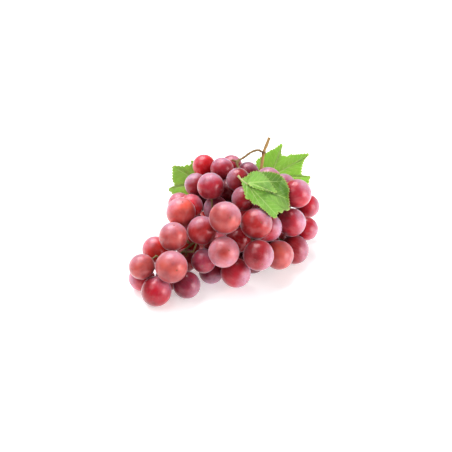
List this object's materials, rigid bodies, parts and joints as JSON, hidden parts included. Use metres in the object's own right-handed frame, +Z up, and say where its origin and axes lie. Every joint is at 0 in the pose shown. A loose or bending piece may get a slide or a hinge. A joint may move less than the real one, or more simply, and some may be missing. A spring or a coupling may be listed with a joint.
{
  "type": "bunch of grapes",
  "caption": "Bunch of large red table grapes lying on its side, with its stalk, a short piece of woody shoot and vine leaves laid over and tucked behind it.",
  "frame": {"origin": "middle of the bounding box, on the surface that the bunch lies on", "axes": "+X along the bunch from its tip to its stem end, +Y away from the pictured side, +Z up"},
  "size_m": [0.1928, 0.1368, 0.0838],
  "materials": {
    "berry_skin": "red berry skin under a pale waxy bloom, softly shining",
    "stalk_green": "green and tan fruit stalk, matt",
    "cane_bark": "brown bark of a young vine shoot, matt",
    "leaf_green": "fresh green leaf with paler veins, matt"
  },
  "bodies": {
    "root": {"spray_01": "berry_skin", "spray_02": "berry_skin", "spray_03": "berry_skin", "spray_04": "berry_skin", "spray_05": "berry_skin", "spray_06": "berry_skin", "spray_07": "berry_skin", "spray_08": "berry_skin", "spray_09": "berry_skin", "spray_10": "berry_skin", "spray_11": "berry_skin", "spray_12": "berry_skin", "rachis": "stalk_green", "cane": "cane_bark", "leaf_front": "leaf_green", "leaf_back_right": "leaf_green", "leaf_back_left": "leaf_green"}
  },
  "joints": []
}
